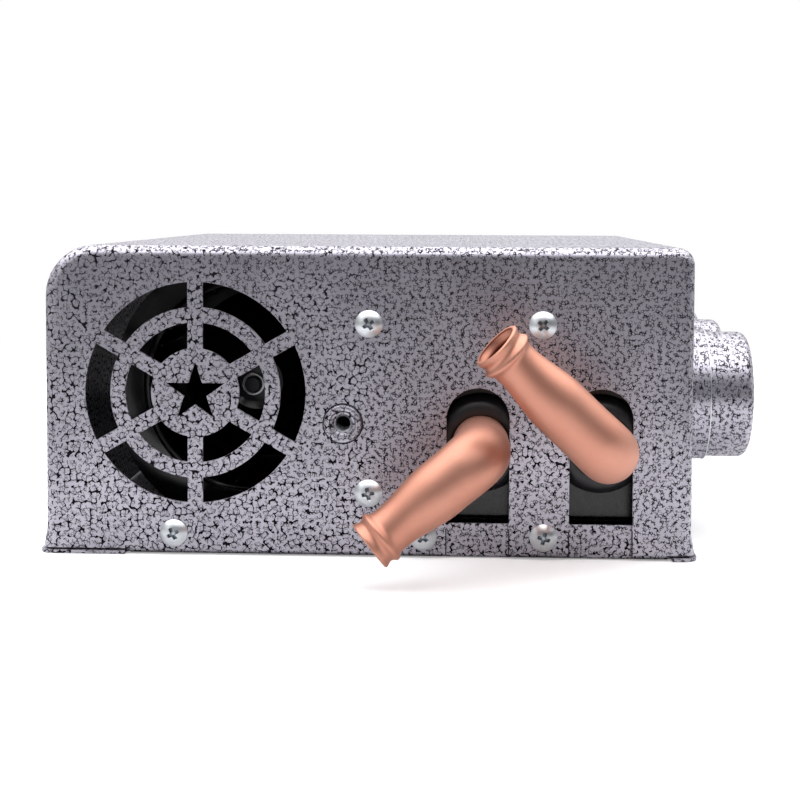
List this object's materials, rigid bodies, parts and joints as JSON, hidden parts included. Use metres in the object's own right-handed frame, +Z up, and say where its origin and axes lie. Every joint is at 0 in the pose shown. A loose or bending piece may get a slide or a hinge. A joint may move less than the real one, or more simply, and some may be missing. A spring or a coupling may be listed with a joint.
{
  "type": "under-dash hot water heater",
  "caption": "Box heater for a vehicle cab: blowers draw air in through star grilles in its sides, over a hot water core and out of turning louvred outlets.",
  "frame": {"origin": "centre of the base plate's underside", "axes": "+X out of the round air outlets, -Y out of the side with the water pipes, +Z up from the base"},
  "size_m": [0.2592, 0.3077, 0.11],
  "materials": {
    "crackle_paint": "silver-grey crackle powder coat with black cracks",
    "zinc_steel": "zinc-plated steel",
    "bright_steel": "ground steel",
    "copper": "bare copper, satin",
    "tube_brass": "bare brass, satin",
    "black_paint": "satin black paint",
    "motor_paint": "dark painted steel",
    "rubber": "smooth black rubber",
    "foam": "closed-cell black foam rubber",
    "black_plastic": "glossy black",
    "wheel_plastic": "glossy black",
    "louvre_plastic": "matt black",
    "bronze": "sintered bronze",
    "magnet": "ferrite",
    "card": "laminated card, brown",
    "carbon": "pressed carbon"
  },
  "bodies": {
    "heater": {"casing_shell": "crackle_paint", "base_plate": "crackle_paint", "base_screws": "zinc_steel", "side_screws": "zinc_steel", "rivet_nuts": "zinc_steel", "outlet_sleeves": "crackle_paint", "vent_retainers": "zinc_steel", "core_tank_near": "black_paint", "core_tank_far": "black_paint", "core_header_near": "tube_brass", "core_header_far": "tube_brass", "core_tubes": "tube_brass", "core_fins": "copper", "core_side_plates": "black_paint", "core_foam_strips": "foam", "core_bracket_near": "zinc_steel", "core_bracket_far": "zinc_steel", "outlet_pipe": "copper", "inlet_pipe": "copper", "pipe_grommets": "rubber", "blower_housing_near": "black_plastic", "blower_housing_far": "black_plastic", "blower_cover_near": "black_plastic", "blower_cover_far": "black_plastic", "bulkhead": "zinc_steel", "motor_case": "motor_paint", "motor_caps": "zinc_steel", "motor_bushes": "bronze", "motor_magnets": "magnet", "brush_card": "card", "carbon_brushes": "carbon", "motor_cradle": "zinc_steel", "motor_strap": "zinc_steel", "strap_screws": "zinc_steel", "cable_grommet": "rubber"},
    "rotor": {"motor_shaft": "bright_steel", "armature_stack": "bright_steel", "armature_windings": "copper", "commutator": "copper", "blower_wheel_near": "wheel_plastic", "blower_wheel_far": "wheel_plastic", "hub_clips": "bright_steel"},
    "vent_near": {"vent_drum_near": "crackle_paint", "vent_louvre_near": "louvre_plastic"},
    "vent_middle": {"vent_drum_middle": "crackle_paint", "vent_louvre_middle": "louvre_plastic"},
    "vent_far": {"vent_drum_far": "crackle_paint", "vent_louvre_far": "louvre_plastic"}
  },
  "joints": [
    {"name": "rotor_spin", "type": "hinge", "parent": "heater", "child": "rotor", "pos_m": [-0.0425, 0, 0.059], "axis": [0, 1, 0], "continuous": true},
    {"name": "vent_near_turn", "type": "hinge", "parent": "heater", "child": "vent_near", "pos_m": [0.1342, -0.0666, 0.0526], "axis": [1, 0, 0], "continuous": true},
    {"name": "vent_middle_turn", "type": "hinge", "parent": "heater", "child": "vent_middle", "pos_m": [0.1342, 0, 0.0526], "axis": [1, 0, 0], "continuous": true},
    {"name": "vent_far_turn", "type": "hinge", "parent": "heater", "child": "vent_far", "pos_m": [0.1342, 0.0666, 0.0526], "axis": [1, 0, 0], "continuous": true}
  ]
}
